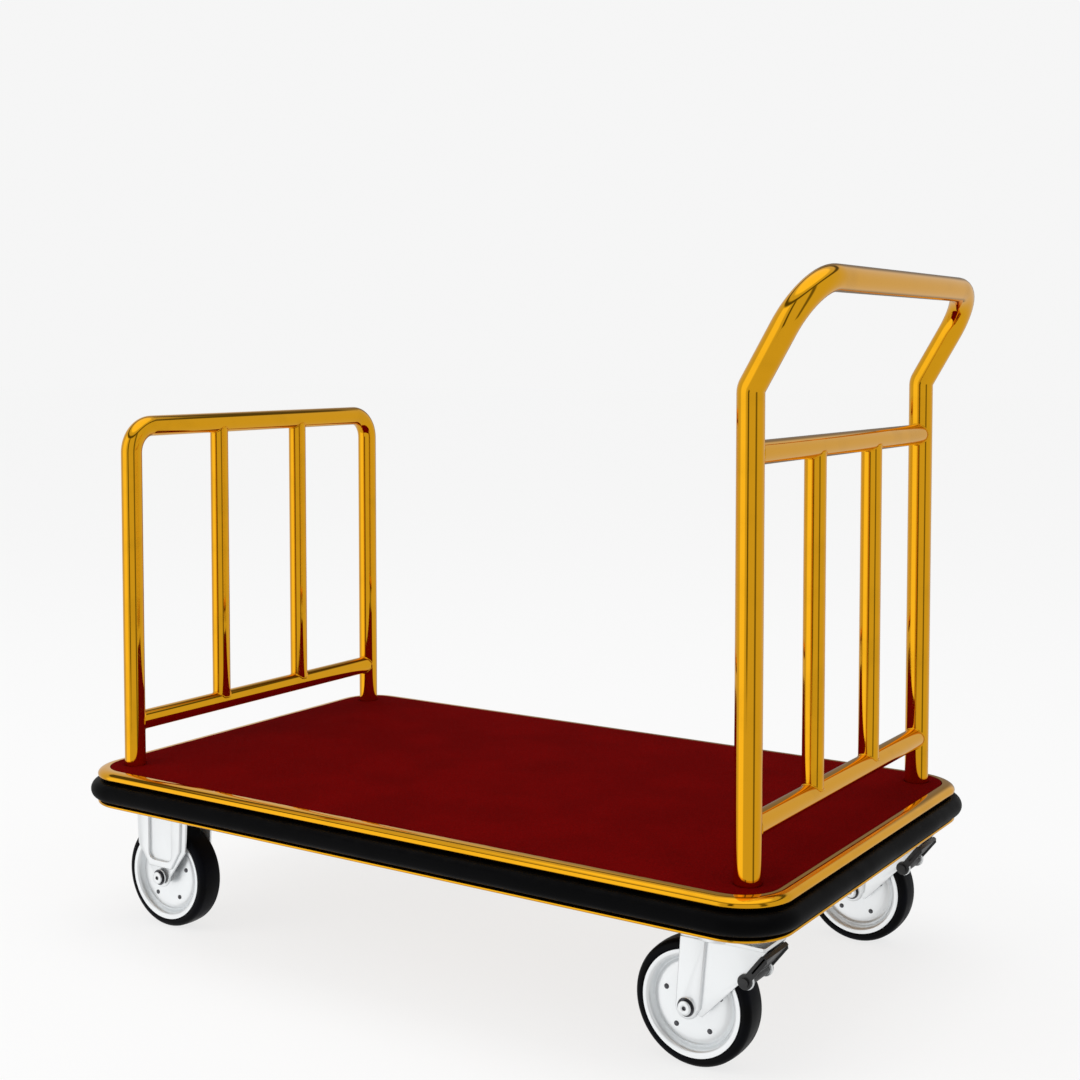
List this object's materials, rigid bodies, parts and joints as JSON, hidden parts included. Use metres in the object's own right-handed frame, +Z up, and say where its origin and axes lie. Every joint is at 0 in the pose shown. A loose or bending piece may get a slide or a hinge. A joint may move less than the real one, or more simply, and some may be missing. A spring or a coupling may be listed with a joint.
{
  "type": "hotel luggage cart",
  "caption": "Flat carpeted hotel luggage cart with a slanted push handle, a lower front rail, a rubber bumper, two swivel casters and two rigid casters.",
  "frame": {"origin": "on the floor under the centre of the bounding box", "axes": "+Z up, +X along the deck toward the push handle, +Y to the right of the person pushing"},
  "size_m": [1.138, 0.674, 0.93],
  "materials": {
    "gold_tube": "mirror-polished gold-coloured tube",
    "gold_band": "polished gold-coloured extrusion",
    "carpet": "short deep red pile",
    "plywood": "plain plywood",
    "bumper_rubber": "smooth black rubber",
    "tyre": "smooth black rubber tyre",
    "zinc_plate": "bright zinc-plated pressed steel",
    "steel": "plain turned steel",
    "frame_paint": "black painted steel",
    "black_paint": "black painted pressed steel"
  },
  "bodies": {
    "root": {"board_screws": "zinc_plate", "bumper": "bumper_rubber", "carpet": "carpet", "caster_bolts": "zinc_plate", "channel_rivets": "zinc_plate", "deck_board": "plywood", "edge_channel": "gold_band", "front_axle_bolts": "zinc_plate", "front_axle_nuts": "zinc_plate", "front_left_corner_bracket": "frame_paint", "front_left_fork": "zinc_plate", "front_right_corner_bracket": "frame_paint", "front_right_fork": "zinc_plate", "handle_hoop": "gold_tube", "handle_left_upright": "gold_tube", "handle_lower_bar": "gold_tube", "handle_right_upright": "gold_tube", "handle_upper_bar": "gold_tube", "post_set_screws": "zinc_plate", "rail_hoop": "gold_tube", "rail_left_upright": "gold_tube", "rail_lower_bar": "gold_tube", "rail_right_upright": "gold_tube", "rear_left_corner_bracket": "frame_paint", "rear_left_kingpin": "steel", "rear_left_top_plate": "zinc_plate", "rear_right_corner_bracket": "frame_paint", "rear_right_kingpin": "steel", "rear_right_top_plate": "zinc_plate", "underframe": "frame_paint"},
    "rear_left_caster": {"rear_left_fork": "zinc_plate", "rear_left_axle_bolt": "zinc_plate", "rear_left_axle_nut": "zinc_plate", "rear_left_lever_pin": "zinc_plate", "rear_left_lower_race": "steel"},
    "rear_left_brake": {"rear_left_brake_lever": "black_paint"},
    "rear_left_wheel": {"rear_left_tyre": "tyre", "rear_left_rim": "zinc_plate", "rear_left_rim_rivets": "zinc_plate", "rear_left_hub": "steel"},
    "front_left_wheel": {"front_left_tyre": "tyre", "front_left_rim": "zinc_plate", "front_left_rim_rivets": "zinc_plate", "front_left_hub": "steel"},
    "rear_right_caster": {"rear_right_fork": "zinc_plate", "rear_right_axle_bolt": "zinc_plate", "rear_right_axle_nut": "zinc_plate", "rear_right_lever_pin": "zinc_plate", "rear_right_lower_race": "steel"},
    "rear_right_brake": {"rear_right_brake_lever": "black_paint"},
    "rear_right_wheel": {"rear_right_tyre": "tyre", "rear_right_rim": "zinc_plate", "rear_right_rim_rivets": "zinc_plate", "rear_right_hub": "steel"},
    "front_right_wheel": {"front_right_tyre": "tyre", "front_right_rim": "zinc_plate", "front_right_rim_rivets": "zinc_plate", "front_right_hub": "steel"}
  },
  "joints": [
    {"name": "rear_left_swivel", "type": "hinge", "parent": "root", "child": "rear_left_caster", "pos_m": [0.44, -0.245, 0.159], "axis": [0, 0, 1], "continuous": true},
    {"name": "rear_left_roll", "type": "hinge", "parent": "rear_left_caster", "child": "rear_left_wheel", "pos_m": [0.408, -0.245, 0.076], "axis": [0, 1, 0], "continuous": true},
    {"name": "rear_left_brake_press", "type": "hinge", "parent": "rear_left_caster", "child": "rear_left_brake", "pos_m": [0.48137, -0.245, 0.12009], "axis": [0, 1, 0], "range_deg": [0, 30]},
    {"name": "front_left_roll", "type": "hinge", "parent": "root", "child": "front_left_wheel", "pos_m": [-0.449, -0.245, 0.076], "axis": [0, 1, 0], "continuous": true},
    {"name": "rear_right_swivel", "type": "hinge", "parent": "root", "child": "rear_right_caster", "pos_m": [0.44, 0.245, 0.159], "axis": [0, 0, 1], "continuous": true},
    {"name": "rear_right_roll", "type": "hinge", "parent": "rear_right_caster", "child": "rear_right_wheel", "pos_m": [0.408, 0.245, 0.076], "axis": [0, 1, 0], "continuous": true},
    {"name": "rear_right_brake_press", "type": "hinge", "parent": "rear_right_caster", "child": "rear_right_brake", "pos_m": [0.48137, 0.245, 0.12009], "axis": [0, 1, 0], "range_deg": [0, 30]},
    {"name": "front_right_roll", "type": "hinge", "parent": "root", "child": "front_right_wheel", "pos_m": [-0.449, 0.245, 0.076], "axis": [0, 1, 0], "continuous": true}
  ]
}
